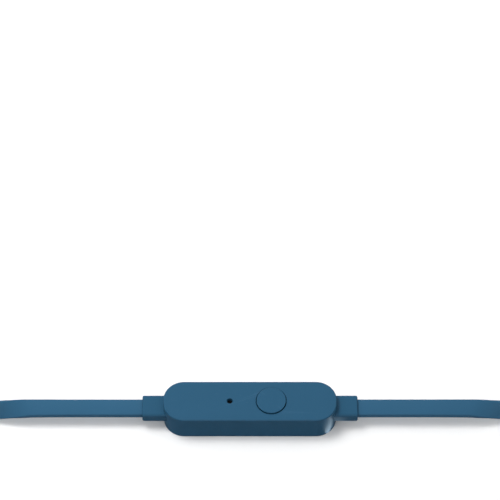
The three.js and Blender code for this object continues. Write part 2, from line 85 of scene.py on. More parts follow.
# meshes: sizes are given in millimetres, and a mesh is kept in metres

def meshPiece(name, vertices, faces, sharp=35):
    mesh = bpy.data.meshes.new(name)
    mesh.from_pydata([Vector(v) * mm for v in vertices], [], faces)
    piece = bpy.data.objects.new(name, mesh)
    bpy.context.scene.collection.objects.link(piece)
    tidyNormals(piece, sharp)
    return piece


def tidyNormals(piece, sharp=35):
    made = bmesh.new()
    made.from_mesh(piece.data)
    bmesh.ops.remove_doubles(made, verts=made.verts, dist=1e-7)
    bmesh.ops.recalc_face_normals(made, faces=made.faces)
    if made.calc_volume(signed=True) < 0:
        bmesh.ops.reverse_faces(made, faces=made.faces)
    made.to_mesh(piece.data)
    made.free()
    piece.data.shade_smooth()
    piece.data.set_sharp_from_angle(angle=radians(sharp))


def bakeModifiers(piece):
    # the evaluated mesh takes the place of the piece's own, and the modifiers go
    graph = bpy.context.evaluated_depsgraph_get()
    made = bpy.data.meshes.new_from_object(piece.evaluated_get(graph))
    old = piece.data
    piece.modifiers.clear()
    piece.data = made
    made.name = piece.name
    bpy.data.meshes.remove(old)


def flatFaces(piece):
    # large flat faces keep a true normal beside their small round edges
    tidyNormals(piece)
    modifier = piece.modifiers.new("flat", "WEIGHTED_NORMAL")
    modifier.weight = 100
    modifier.keep_sharp = True
    bakeModifiers(piece)


def remove(piece):
    mesh = piece.data
    bpy.data.objects.remove(piece)
    bpy.data.meshes.remove(mesh)


def combine(piece, other, operation="DIFFERENCE"):
    modifier = piece.modifiers.new("cut", "BOOLEAN")
    modifier.operation = operation
    modifier.solver = "EXACT"
    modifier.object = other
    bakeModifiers(piece)
    remove(other)


def roundedOutline(length, width, radius, steps=16):
    # a rectangle's outline with round corners, anticlockwise
    points = []
    for quarter, (sideX, sideY) in enumerate(((1, 1), (-1, 1), (-1, -1), (1, -1))):
        for step in range(steps + 1):
            angle = (quarter + step / steps) * pi / 2
            x = sideX * (length / 2 - radius) + radius * cos(angle)
            y = sideY * (width / 2 - radius) + radius * sin(angle)
            points.append((x, y))
    return points


def loft(name, rings, sharp=35, loop=False):
    # joins rings with the same number of points, and closes the two ends or runs round
    count = len(rings[0])
    vertices = [point for ring in rings for point in ring]
    faces = []
    for low in range(len(rings) - (0 if loop else 1)):
        high = (low + 1) % len(rings)
        for i in range(count):
            j = (i + 1) % count
            faces.append((low * count + i, low * count + j, high * count + j, high * count + i))
    if not loop:
        faces.append(tuple(reversed(range(count))))
        faces.append(tuple(range((len(rings) - 1) * count, len(rings) * count)))
    return meshPiece(name, vertices, faces, sharp)


def quarterRound(radius, steps=6):
    # (inset, rise) pairs from a vertical wall to a flat top
    return [
        (radius * (1 - cos(step / steps * pi / 2)), radius * sin(step / steps * pi / 2))
        for step in range(steps + 1)
    ]


def roundedBlock(name, length, width, corner, bottom, top, lowEdge, highEdge, steps=16):
    # standing on z = bottom, with rounded lower and upper edges
    levels = [(inset, bottom + lowEdge - rise) for inset, rise in reversed(quarterRound(lowEdge))]
    levels += [(inset, top - highEdge + rise) for inset, rise in quarterRound(highEdge)]
    rings = [
        [(x, y, z) for x, y in roundedOutline(length - 2 * inset, width - 2 * inset, corner - inset, steps)]
        for inset, z in levels
    ]
    return loft(name, rings)


def turned(name, profile, steps=96, about="z"):
    # a profile of (radius, height) pairs turned about an axis; it starts and ends on the axis or closes
    vertices, faces = [], []
    for radius, height in profile:
        for step in range(steps if radius > 0 else 1):
            angle = 2 * pi * step / steps
            a, b = radius * cos(angle), radius * sin(angle)
            vertices.append((a, b, height) if about == "z" else (height, a, b))
    starts, at = [], 0
    for radius, _ in profile:
        starts.append(at)
        at += steps if radius > 0 else 1
    pairs = list(zip(range(len(profile) - 1), range(1, len(profile))))
    if profile[0][0] > 0:
        pairs.append((len(profile) - 1, 0))
    for low, high in pairs:
        for i in range(steps):
            j = (i + 1) % steps
            if profile[low][0] > 0 and profile[high][0] > 0:
                faces.append((starts[low] + i, starts[low] + j, starts[high] + j, starts[high] + i))
            elif profile[high][0] > 0:
                faces.append((starts[low], starts[high] + j, starts[high] + i))
            elif profile[low][0] > 0:
                faces.append((starts[low] + i, starts[low] + j, starts[high]))
    return meshPiece(name, vertices, faces)


def smoothProfile(corners, ring=False, steps=4):
    # rounds the corners of a profile of (radius, height, rounding) triples
    points = [Vector((c[0], c[1])) for c in corners]
    result = []
    for i, corner in enumerate(corners):
        rounding = corner[2] if len(corner) > 2 else 0
        if not rounding or (not ring and i in (0, len(corners) - 1)):
            result.append(tuple(points[i]))
            continue
        before = points[i - 1] - points[i]
        after = points[(i + 1) % len(points)] - points[i]
        start = points[i] + before.normalized() * min(rounding, before.length * 0.49)
        end = points[i] + after.normalized() * min(rounding, after.length * 0.49)
        for step in range(steps + 1):
            t = step / steps
            result.append(tuple(start.lerp(points[i], t).lerp(points[i].lerp(end, t), t)))
    return result


def move(piece, x=0, y=0, z=0, turn=0):
    piece.data.transform(Matrix.Translation(Vector((x, y, z)) * mm) @ Matrix.Rotation(turn, 4, "Z"))
    return piece


# cables: a route is a list of (x, y, z, roll) stations, and roll turns the flat cable onto its edge

cable = {
    "width": 3.8,
    "thickness": 1.3,
    "corner": 0.3,
    "height": 3.5,  # of its middle beside the remote
    "onEdge": 2.5,  # and in the hank
    "intoRelief": 0.55,  # how far past the route an end goes into what holds it
    "intoSplitter": 0.8,
    "intoEar": 0.6,
    "step": 0.8,
}
branch = {"width": 2.0, "thickness": 1.2, "corner": 0.4, "low": 1.6, "high": 3.8}
hank = {
    "outerX": 68.2,
    "backY": -24.65,
    "radius": 15.1,
    "straight": 37,
    "pitch": 1.4,
    "mainTurns": 3.871,
    "outerTurns": 1.871,  # of the branch that leaves at the outer round end
    "innerTurns": 2.371,
}

runOut = [
    (22.7, 0, 3.5, 0),
    (30, 0, 3.5, 0),
    (38, 0, 3.5, 0),
    (45.5, 0, 3.45, 4),
    (49, 0, 3.25, 25),
    (52.5, 0, 2.9, 50),
    (55.8, 0, 2.55, 75),
    (59.2, 0, 2.5, 90),
    (62.64, -0.69, 2.5, 90),
    (65.56, -2.64, 2.5, 90),
    (67.51, -5.56, 2.5, 90),
    (68.2, -9, 2.5, 90),
]
plugLead = [
    (56.73, -31.04, 2.55, 90),
    (59.38, -33.7, 2.65, 90),
    (60.35, -37.32, 2.65, 90),
    (59.38, -40.94, 2.75, 90),
    (56.73, -43.6, 2.9, 90),
    (53.1, -44.57, 3, 90),
    (52.1, -44.57, 3, 90),
]
outerEarLead = [
    (57.92, -28.23, 2.1, 90),
    (61.5, -30.75, 2.9, 90),
    (63.1, -34.6, 3.9, 90),
    (61.9, -38, 5, 90),
    (59.1, -39.7, 5.9, 90),
    (57.15, -39.75, 6, 90),
]
innerEarLead = [
    (11.28, -50.6, 4.1, 90),
    (7.7, -48.25, 4.6, 90),
    (6.1, -44.9, 5.1, 90),
    (7.3, -41.5, 5.6, 90),
    (10.1, -39.8, 6, 90),
    (12.05, -39.75, 6, 90),
]


def mirrored(stations):
    return [(-x, y, z, -roll) for x, y, z, roll in stations]


def hankTurns(turns, z):
    # once round: outer quarter, front, inner half, back, outer quarter, each a share of the turn
    outerEnd = hank["outerX"] - hank["radius"]
    innerEnd = outerEnd - hank["straight"]
    middleY = hank["backY"] - hank["radius"]
    bends = [(0, 0.129, outerEnd, 0, -90, 4), (0.371, 0.629, innerEnd, -90, -270, 8),
             (0.871, 1, outerEnd, -270, -360, 4)]
    stations = []
    for turn in range(int(turns) + 1):
        for start, end, middleX, first, last, steps in bends:
            for step in range(steps + 1):
                share = step / steps
                at = turn + start + (end - start) * share
                if at > turns + 1e-6 or (step == steps and last == -360):
                    continue
                radius = hank["radius"] - hank["pitch"] * at
                angle = radians(first + (last - first) * share)
                stations.append((middleX + radius * cos(angle), middleY + radius * sin(angle), z, 90))
    return stations


def resample(stations, step):
    # a centripetal curve through the stations, cut into equal steps
    points = [Vector(s[:3]) for s in stations]
    rolls = [s[3] for s in stations]
    dense, denseRolls = [], []
    for i in range(len(points) - 1):
        p1, p2 = points[i], points[i + 1]
        p0 = points[i - 1] if i else p1 * 2 - p2
        p3 = points[i + 2] if i + 2 < len(points) else p2 * 2 - p1
        t1 = sqrt((p1 - p0).length)
        t2 = t1 + sqrt((p2 - p1).length)
        t3 = t2 + sqrt((p3 - p2).length)
        cuts = max(2, int((p2 - p1).length / 0.25))
        for cut in range(cuts):
            t = t1 + (t2 - t1) * cut / cuts
            a1 = p0.lerp(p1, t / t1)
            a2 = p1.lerp(p2, (t - t1) / (t2 - t1))
            a3 = p2.lerp(p3, (t - t2) / (t3 - t2))
            b1 = a1.lerp(a2, t / t2)
            b2 = a2.lerp(a3, (t - t1) / (t3 - t1))
            dense.append(b1.lerp(b2, (t - t1) / (t2 - t1)))
            share = cut / cuts
            ease = share * share * (3 - 2 * share)
            denseRolls.append(rolls[i] + (rolls[i + 1] - rolls[i]) * (share + ease) / 2)
    dense.append(points[-1])
    denseRolls.append(rolls[-1])
    line = np.array(dense)
    along = np.concatenate([[0], np.cumsum(np.linalg.norm(np.diff(line, axis=0), axis=1))])
    at = np.linspace(0, along[-1], max(2, round(along[-1] / step)) + 1)
    path = np.stack([np.interp(at, along, line[:, k]) for k in range(3)], axis=1)
    return path, np.interp(at, along, denseRolls), along[-1]


def sweepFlat(name, stations, size):
    path, rolls, length = resample(stations, cable["step"])
    section = roundedOutline(size["width"], size["thickness"], size["corner"], 4)
    directions = np.gradient(path, axis=0)
    rings = []
    for point, direction, roll in zip(path, directions, rolls):
        forward = Vector(direction).normalized()
        side = Vector((0, 0, 1)).cross(forward).normalized()
        side.rotate(Matrix.Rotation(radians(roll), 3, forward))
        up = forward.cross(side)
        rings.append([Vector(point) + side * a + up * b for a, b in section])
    piece = loft(name, rings, sharp=50)
    return piece, (path * mm).tolist(), length * mm


def extended(stations, byStart, byEnd):
    # the same route with its ends carried straight on into the pieces that hold them
    first, second, before, last = (Vector(stations[i][:3]) for i in (0, 1, -2, -1))
    start = first + (first - second).normalized() * byStart
    end = last + (last - before).normalized() * byEnd
    return [(*start, stations[0][3]), *stations[1:-1], (*end, stations[-1][3])]


root = "remote_and_cables"
cordPieces = {}


def branchRoute(z, turns, lead):
    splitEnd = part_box("cable_splitter")[0].y / mm
    stations = [(hank["outerX"], splitEnd, z, 90)] + hankTurns(turns, z) + lead
    return extended(mirrored(stations), cable["intoSplitter"], cable["intoEar"])


def makeCables():
    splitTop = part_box("cable_splitter")[1].y / mm
    toPlug = runOut + hankTurns(hank["mainTurns"], cable["onEdge"]) + plugLead
    toSplitter = mirrored(runOut + [(hank["outerX"], splitTop, cable["onEdge"], 90)])
    routes = {
        "rightCable": (extended(toPlug, cable["intoRelief"], cable["intoRelief"]), cable),
        "leftCable": (extended(toSplitter, cable["intoRelief"], cable["intoSplitter"]), cable),
        "outerBranch": (branchRoute(branch["low"], hank["outerTurns"], outerEarLead), branch),
        "innerBranch": (branchRoute(branch["high"], hank["innerTurns"], innerEarLead), branch),
    }
    for name, (stations, size) in routes.items():
        piece, path, length = sweepFlat(name, stations, size)
        cordPieces[name] = (piece, path, length, size["width"] * mm)
        print("cable", name, round(length, 3), "m")


makeCables()


def fit(piece, body, slotName, *nodes):
    # a finished piece rides on its body, stands for its CAD nodes and takes its slot's finish
    piece.data.materials.clear()
    piece.data.materials.append(finishes[slotName])
    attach(piece, body)
    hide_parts(*nodes)
    print("made", piece.name)


# shader groups: each is built once and used with its own values

def feed(tree, socket, value):
    # another node's output is linked, and a plain value is set
    if isinstance(value, bpy.types.NodeSocket):
        tree.links.new(value, socket)
    else:
        socket.default_value = value


def add(tree, kind, values=None, **settings):
    node = tree.nodes.new(kind)
    for name, value in settings.items():
        setattr(node, name, value)
    for name, value in (values or {}).items():
        feed(tree, node.inputs[name], value)
    return node


def noise(tree, vector, scale, detail=2, roughness=0.5):
    values = {"Vector": vector, "Scale": scale, "Detail": detail, "Roughness": roughness}
    return add(tree, "ShaderNodeTexNoise", values).outputs["Fac"]


def calculate(tree, operation, *values, clamp=False):
    node = add(tree, "ShaderNodeMath", dict(enumerate(values)), operation=operation, use_clamp=clamp)
    return node.outputs["Value"]


def newGroup(name, inputs, outputs):
    tree = bpy.data.node_groups.new(name, "ShaderNodeTree")
    tree.interface.new_socket("Vector", in_out="INPUT", socket_type="NodeSocketVector")
    for label, value in inputs.items():
        socket = tree.interface.new_socket(label, in_out="INPUT", socket_type="NodeSocketFloat")
        socket.default_value = value
    for label in outputs:
        tree.interface.new_socket(label, in_out="OUTPUT", socket_type="NodeSocketFloat")
    return tree, tree.nodes.new("NodeGroupInput").outputs


def makeMouldGrain():
    # the fine spark-eroded texture of a moulding, with a slow change of tone under it
    tree, given = newGroup(
        "mouldGrain", {"Grain Scale": 9000, "Cloud Scale": 140, "Tone Range": 0.06}, ["Tone", "Height"])
    fine = noise(tree, given["Vector"], given["Grain Scale"], 3, 0.6)
    cloud = noise(tree, given["Vector"], given["Cloud Scale"])
    fineShare = calculate(tree, "MULTIPLY", fine, 0.35)
    both = calculate(tree, "ADD", fineShare, calculate(tree, "MULTIPLY", cloud, 0.65))
    spread = calculate(tree, "MULTIPLY", calculate(tree, "SUBTRACT", both, 0.5), given["Tone Range"])
    add(tree, "NodeGroupOutput", {"Tone": calculate(tree, "ADD", spread, 1), "Height": fine})
    return tree


def makeHandling():
    # where fingers and cloth have polished a surface, and where a little dust stays
    tree, given = newGroup(
        "handling", {"Patch Scale": 220, "Polish": 0.08, "Dust": 0.02}, ["Roughness Change", "Dust Mask"])
    patch = noise(tree, given["Vector"], given["Patch Scale"], 4, 0.55)
    change = calculate(tree, "MULTIPLY", calculate(tree, "SUBTRACT", patch, 0.5), given["Polish"])
    specks = add(tree, "ShaderNodeTexVoronoi", {"Vector": given["Vector"], "Scale": 2600.0}, feature="F1")
    near = calculate(tree, "LESS_THAN", specks.outputs["Distance"], 0.13)
    sparse = calculate(tree, "GREATER_THAN", noise(tree, given["Vector"], 900, 1), 0.6)
    mask = calculate(tree, "MULTIPLY", calculate(tree, "MULTIPLY", near, sparse), given["Dust"])
    add(tree, "NodeGroupOutput", {"Roughness Change": change, "Dust Mask": mask})
    return tree


def makeEdgeWear():
    # raised edges, from the curvature of the surface
    tree, given = newGroup("edgeWear", {"Amount": 0.5}, ["Mask"])
    pointed = add(tree, "ShaderNodeNewGeometry").outputs["Pointiness"]
    raised = calculate(tree, "MULTIPLY", calculate(tree, "SUBTRACT", pointed, 0.52), 9, clamp=True)
    broken = noise(tree, given["Vector"], 1500, 3, 0.6)
    mask = calculate(tree, "MULTIPLY", calculate(tree, "MULTIPLY", raised, broken), given["Amount"])
    add(tree, "NodeGroupOutput", {"Mask": mask})
    return tree


def makeDrawLines():
    # hair-fine lines across X, as turning about that axis leaves on metal
    tree, given = newGroup("drawLines", {"Line Scale": 6000, "Stretch": 0.04}, ["Lines"])
    parts = add(tree, "ShaderNodeSeparateXYZ", {"Vector": given["Vector"]}).outputs
    short = {axis: calculate(tree, "MULTIPLY", parts[axis], given["Stretch"]) for axis in "YZ"}
    joined = add(tree, "ShaderNodeCombineXYZ", {"X": parts["X"], **short})
    lines = noise(tree, joined.outputs["Vector"], given["Line Scale"])
    add(tree, "NodeGroupOutput", {"Lines": lines})
    return tree


groups = {
    "mouldGrain": makeMouldGrain(),
    "handling": makeHandling(),
    "edgeWear": makeEdgeWear(),
    "drawLines": makeDrawLines(),
}
print("shader groups made")


# finishes: one for each material slot

def place(tree, name, vector, values):
    return add(tree, "ShaderNodeGroup", {"Vector": vector, **values}, node_tree=groups[name]).outputs


def newFinish(name, sockets):
    material = bpy.data.materials.new(name)
    material.use_nodes = True
    tree = material.node_tree
    shader = tree.nodes["Principled BSDF"].inputs
    for label, value in sockets.items():
        shader[label].default_value = value
    return material, tree, shader, add(tree, "ShaderNodeTexCoord").outputs["Object"]


def mixColour(tree, factor, *colours):
    # between two colours, each a plain one or another node's
    values = {0: factor}
    for socket, colour in zip((6, 7), colours):
        values[socket] = (*colour, 1) if isinstance(colour, tuple) else colour
    return add(tree, "ShaderNodeMix", values, data_type="RGBA", blend_type="MIX").outputs[2]


def toned(tree, colour, tone):
    return add(tree, "ShaderNodeVectorMath", {0: colour, "Scale": tone}, operation="SCALE").outputs["Vector"]


def bump(tree, shader, height, depth):
    node = add(tree, "ShaderNodeBump", {"Strength": 1.0, "Distance": depth, "Height": height})
    tree.links.new(node.outputs["Normal"], shader["Normal"])


def mouldedFinish(name, values):
    sockets = {"Specular IOR Level": values["specular"], "Coat Weight": values.get("coat", 0)}
    if "coat" in values:
        sockets["Coat Roughness"] = 0.12
    material, tree, shader, vector = newFinish(name, sockets)
    grain = place(tree, "mouldGrain", vector, {
        "Grain Scale": values["grain"], "Cloud Scale": values["cloud"], "Tone Range": values["tone"]})
    hands = place(tree, "handling", vector, {"Polish": values["polish"], "Dust": values["dust"]})
    wear = place(tree, "edgeWear", vector, {"Amount": values["wear"]})
    worn = mixColour(tree, wear["Mask"], values["colour"], values["edge"])
    dusty = mixColour(tree, hands["Dust Mask"], worn, values["dustColour"])
    rough = calculate(tree, "ADD", hands["Roughness Change"], values["roughness"], clamp=True)
    tree.links.new(toned(tree, dusty, grain["Tone"]), shader["Base Color"])
    tree.links.new(rough, shader["Roughness"])
    bump(tree, shader, grain["Height"], values["depth"] * mm)
    return material


def metalFinish(name, values):
    material, tree, shader, vector = newFinish(name, {"Metallic": 1.0})
    lines = place(tree, "drawLines", vector, {
        "Line Scale": values["lines"], "Stretch": values["stretch"]})["Lines"]
    hands = place(tree, "handling", vector, {"Polish": 0.12, "Dust": values["dust"]})
    wear = place(tree, "edgeWear", vector, {"Amount": 0.4})
    lined = mixColour(tree, lines, values["dark"], values["colour"])
    rough = calculate(tree, "ADD", calculate(tree, "MULTIPLY", lines, 0.12), hands["Roughness Change"])
    rough = calculate(tree, "ADD", rough, values["roughness"], clamp=True)
    tree.links.new(mixColour(tree, wear["Mask"], lined, values["edge"]), shader["Base Color"])
    tree.links.new(rough, shader["Roughness"])
    bump(tree, shader, lines, values["depth"] * mm)
    return material


def boardFinish(name, values):
    # solder mask over copper tracks, with the tracks standing a little proud
    material, tree, shader, vector = newFinish(name, {
        "Specular IOR Level": 0.5, "Coat Weight": 0.3, "Roughness": values["roughness"]})
    tracks = add(tree, "ShaderNodeTexBrick", {
        "Vector": vector, "Scale": values["tracks"], "Mortar Size": 0.06}, offset=0.37).outputs["Fac"]
    grain = place(tree, "mouldGrain", vector, {"Grain Scale": 7000, "Cloud Scale": 400, "Tone Range": 0.2})
    masked = mixColour(tree, tracks, values["colour"], values["track"])
    tree.links.new(toned(tree, masked, grain["Tone"]), shader["Base Color"])
    weave = calculate(tree, "MULTIPLY", grain["Height"], 0.2)
    bump(tree, shader, calculate(tree, "ADD", weave, tracks), 0.02 * mm)
    return material


navy = (0.0125, 0.0725, 0.139)
paleDust = (0.5, 0.52, 0.54)
moulded = {
    "colour": navy, "edge": (0.045, 0.13, 0.22), "dustColour": paleDust, "roughness": 0.42,
    "specular": 0.22, "grain": 7000, "cloud": 160, "tone": 0.1, "depth": 0.006,
    "polish": 0.1, "dust": 0.05, "wear": 0.3,
}
softMoulded = dict(moulded, roughness=0.55, specular=0.2, depth=0.009, grain=5200, tone=0.12, wear=0.2)
blackMoulded = dict(moulded, colour=(0.011, 0.012, 0.014), edge=(0.03, 0.031, 0.034), roughness=0.5,
                    specular=0.4, dust=0.1)
metal = {
    "colour": (0.62, 0.63, 0.64), "dark": (0.42, 0.43, 0.45), "edge": (0.8, 0.8, 0.81),
    "roughness": 0.22, "lines": 9000, "stretch": 0.05, "depth": 0.002, "dust": 0.02,
}
finishes = {
    "navy_plastic": mouldedFinish("navyShell", moulded),
    "navy_button": mouldedFinish("navyButton", dict(moulded, roughness=0.38, polish=0.14)),
    "navy_relief": mouldedFinish("navyOvermould", dict(softMoulded, colour=(0.0115, 0.0695, 0.133))),
    "navy_cable": mouldedFinish("navyCableJacket", dict(
        softMoulded, colour=(0.0182, 0.0855, 0.161), cloud=90)),
    "black_plastic": mouldedFinish("blackMoulding", blackMoulded),
    "black_rubber": mouldedFinish("blackRubber", dict(
        blackMoulded, roughness=0.7, depth=0.012, specular=0.3)),
    "tip_silicone": mouldedFinish("greySilicone", dict(
        softMoulded, colour=(0.043, 0.05, 0.058), edge=(0.09, 0.1, 0.11), roughness=0.55, dust=0.2)),
    "bright_steel": metalFinish("satinSteel", metal),
    "gold_plate": metalFinish("goldPlate", dict(
        metal, colour=(0.86, 0.62, 0.28), dark=(0.7, 0.47, 0.18), edge=(0.95, 0.8, 0.5), roughness=0.14)),
    "copper_wire": metalFinish("enamelledCopper", dict(
        metal, colour=(0.72, 0.33, 0.16), dark=(0.5, 0.2, 0.08), edge=(0.85, 0.5, 0.3), lines=14000)),
    "board": boardFinish("solderMask", {
        "colour": (0.012, 0.1, 0.05), "track": (0.03, 0.18, 0.08), "tracks": 900, "roughness": 0.35}),
    "ceramic_chip": mouldedFinish("firedCeramic", dict(
        moulded, colour=(0.33, 0.2, 0.09), edge=(0.5, 0.4, 0.3), roughness=0.6, grain=12000, tone=0.4)),
    "diaphragm_film": mouldedFinish("domeFilm", dict(
        moulded, colour=(0.5, 0.49, 0.42), edge=(0.6, 0.6, 0.55), roughness=0.25, coat=0.5)),
}
print("finishes made")


# remote: the housing

past = 1  # how far a cutter reaches beyond what it cuts
pod = {
    "lowEdge": 0.12,
    "highEdge": 0.3,
    "corner": 4.3,
    "wall": 0.9,
    "rimWall": 0.5,
    "rim": 0.04,  # the soft edge round the button's hole
    "micRim": 0.1,  # and round the microphone's
    "buttonGap": 0.15,
    "micHole": 0.6,
    "windowGap": 0.1,
    "insideEdges": (0.1, 0.3),  # lower and upper
    "rebateEdges": (0.1, 0.02),  # of the rebate that the cover lies in
    "arcSteps": 28,
}
button = {
    "radius": 3.05,
    "edge": 0.08,
    "stem": 1.0,
    "stemEdge": 0.1,
    "flangeThickness": 0.5,
    "flangeEdge": 0.08,
    "roofGap": 0.1,
    "steps": 128,
}
relief = {
    "width": 5.05,
    "height": 2.6,
    "edge": 0.58,
    "endEdge": 0.3,
    "flangeThickness": 1.2,
    "flangeEdge": 0.3,
    "recess": 0.5,  # the depth of the cable's mouth
    "slack": 0.06,  # and the room round the cable in it
}
cover = {
    "gap": 0.05,  # under the housing's rebate, and between the posts and the board
    "edges": (0.12, 0.05),
    "postRadius": 0.6,
    "postEdge": 0.08,
    "postFromEnd": 1.5,
    "postFromSide": 1.2,
    "tab": (3, 0.5, 0.15),  # length, width and rounding
    "tabEdges": (0.02, 0.1),
    "tabFromSide": 0.55,
    "tabTop": 0.1,  # below the board
}


def boxOf(node):
    low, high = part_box(node)
    return low / mm, high / mm


def barAlongX(name, sections, steps=6):
    # a bar lofted through (x, width, height, edge, middle height) sections
    rings = []
    for x, width, height, edge, middle in sections:
        rings.append([(x, a, middle + b) for a, b in roundedOutline(width, height, edge, steps)])
    return loft(name, rings)


def holeCutter(radius, x, bottom, top, rim):
    curve = [(radius + inset, top - rim + rise) for inset, rise in quarterRound(rim, 5)]
    profile = [(0, bottom), (radius, bottom)] + curve + [(curve[-1][0], top + past), (0, top + past)]
    return move(turned("cutter", profile, 96), x=x)


def makeHousing():
    low, high = boxOf("upper_shell")
    capLow, capHigh = boxOf("button_cap")
    meshLow, meshHigh = boxOf("microphone_mesh")
    reliefLow, reliefHigh = boxOf("right_strain_relief")
    length, width, top = high.x - low.x, high.y - low.y, high.z
    roof = top - pod["wall"]
    shell = roundedBlock("upperShell", length, width, pod["corner"], 0, top, pod["lowEdge"],
                         pod["highEdge"], pod["arcSteps"])
    inside = roundedBlock("cutter", length - 2 * pod["wall"], width - 2 * pod["wall"],
                          pod["corner"] - pod["wall"], -past, roof, *pod["insideEdges"], pod["arcSteps"])
    combine(shell, inside)
    rebate = roundedBlock("cutter", length - 2 * pod["rimWall"], width - 2 * pod["rimWall"],
                          pod["corner"] - pod["rimWall"], -past, pod["wall"], *pod["rebateEdges"],
                          pod["arcSteps"])
    combine(shell, rebate)
    gap = pod["windowGap"]
    window = barAlongX("cutter", [
        (x, relief["width"] + 2 * gap, relief["height"] + 2 * gap, relief["edge"] + gap,
         (reliefLow.z + reliefHigh.z) / 2)
        for x in (-length, length)])
    combine(shell, window)
    capX = (capHigh.x + capLow.x) / 2
    holeRadius = button["radius"] + pod["buttonGap"]
    combine(shell, holeCutter(holeRadius, capX, roof - past, top, pod["rim"]))
    micX = (meshLow.x + meshHigh.x) / 2
    combine(shell, holeCutter(pod["micHole"], micX, roof - past, top, pod["micRim"]))
    flatFaces(shell)
    fit(shell, root, "navy_plastic", "upper_shell")


def makeButton():
    low, high = boxOf("button_cap")
    shellTop = boxOf("upper_shell")[1].z
    flangeTop = shellTop - pod["wall"] - button["roofGap"]
    flangeFoot = flangeTop - button["flangeThickness"]
    radius, edge, stem, flangeEdge = button["radius"], button["edge"], button["stem"], button["flangeEdge"]
    flange = (high.x - low.x) / 2
    profile = smoothProfile([
        (0, low.z), (stem, low.z, button["stemEdge"]), (stem, flangeFoot),
        (flange, flangeFoot, flangeEdge), (flange, flangeTop, flangeEdge),
        (radius, flangeTop), (radius, high.z, edge), (radius - 2 * edge, high.z), (radius / 2, high.z),
        (0, high.z),
    ], steps=6)
    cap = turned("buttonCap", profile, button["steps"])
    move(cap, x=(low.x + high.x) / 2)
    flatFaces(cap)
    fit(cap, "button", "navy_button", "button_cap")


def makeRelief(node, side):
    low, high = boxOf(node)
    inner, outer = (low.x, high.x) if side > 0 else (-high.x, -low.x)
    middle = (low.z + high.z) / 2
    flange = (high.y - low.y, high.z - low.z, relief["flangeEdge"], middle)
    flangeEnd = inner + relief["flangeThickness"]
    sections = [(inner, *flange), (flangeEnd, *flange)]
    sections.append((flangeEnd, relief["width"], relief["height"], relief["edge"], middle))
    for inset, rise in quarterRound(relief["endEdge"]):
        sections.append((outer - relief["endEdge"] + rise, relief["width"] - 2 * inset,
                         relief["height"] - 2 * inset, relief["edge"] - inset * 0.5, middle))
    block = barAlongX("relief", sections, 8)
    slack = relief["slack"]
    mouth = barAlongX("cutter", [
        (x, cable["width"] + 2 * slack, cable["thickness"] + 2 * slack, cable["corner"] + slack,
         cable["height"])
        for x in (outer - relief["recess"], outer + past)])
    combine(block, mouth)
    if side < 0:
        move(block, turn=pi)
    flatFaces(block)
    block.name = "leftRelief" if side < 0 else "rightRelief"
    fit(block, root, "navy_relief", node)


def makeCover():
    low, high = boxOf("lower_cover")
    shellHigh = boxOf("upper_shell")[1]
    boardLow, boardHigh = boxOf("circuit_board")
    corner = pod["corner"] - (shellHigh.y - high.y)
    thickness = pod["wall"] - cover["gap"]
    plate = roundedBlock("lowerCover", high.x - low.x, high.y - low.y, corner, 0, thickness,
                         *cover["edges"], pod["arcSteps"])
    inner, postTop = thickness / 2, boardLow.z - cover["gap"]
    postProfile = smoothProfile([
        (0, inner), (cover["postRadius"], inner), (cover["postRadius"], postTop, cover["postEdge"]),
        (0, postTop)])
    for sideX in (-1, 1):
        for sideY in (-1, 1):
            post = turned("post", postProfile, 32)
            move(post, sideX * (boardHigh.x - cover["postFromEnd"]),
                 sideY * (boardHigh.y - cover["postFromSide"]))
            combine(plate, post, "UNION")
            tab = roundedBlock("tab", *cover["tab"], inner, boardLow.z - cover["tabTop"],
                               *cover["tabEdges"], 6)
            move(tab, sideX * shellHigh.x / 2, sideY * (high.y - cover["tabFromSide"]))
            combine(plate, tab, "UNION")
    flatFaces(plate)
    fit(plate, root, "navy_plastic", "lower_cover")


makeHousing()
makeButton()
makeRelief("right_strain_relief", 1)
makeRelief("left_strain_relief", -1)
makeCover()


# rows of ribs and woven wire, by geometry nodes

def newNodes(name, inputs):
    tree = bpy.data.node_groups.new(name, "GeometryNodeTree")
    for label, kind in inputs.items():
        tree.interface.new_socket(label, in_out="INPUT", socket_type="NodeSocket" + kind)
    tree.interface.new_socket("Geometry", in_out="OUTPUT", socket_type="NodeSocketGeometry")
    return tree, tree.nodes.new("NodeGroupInput").outputs


def finishNodes(tree, given, geometry):
    real = add(tree, "GeometryNodeRealizeInstances", {"Geometry": geometry})
    paint = add(tree, "GeometryNodeSetMaterial", {
        "Geometry": real.outputs["Geometry"], "Material": given["Material"]})
    add(tree, "NodeGroupOutput", {"Geometry": paint.outputs["Geometry"]})
    return tree


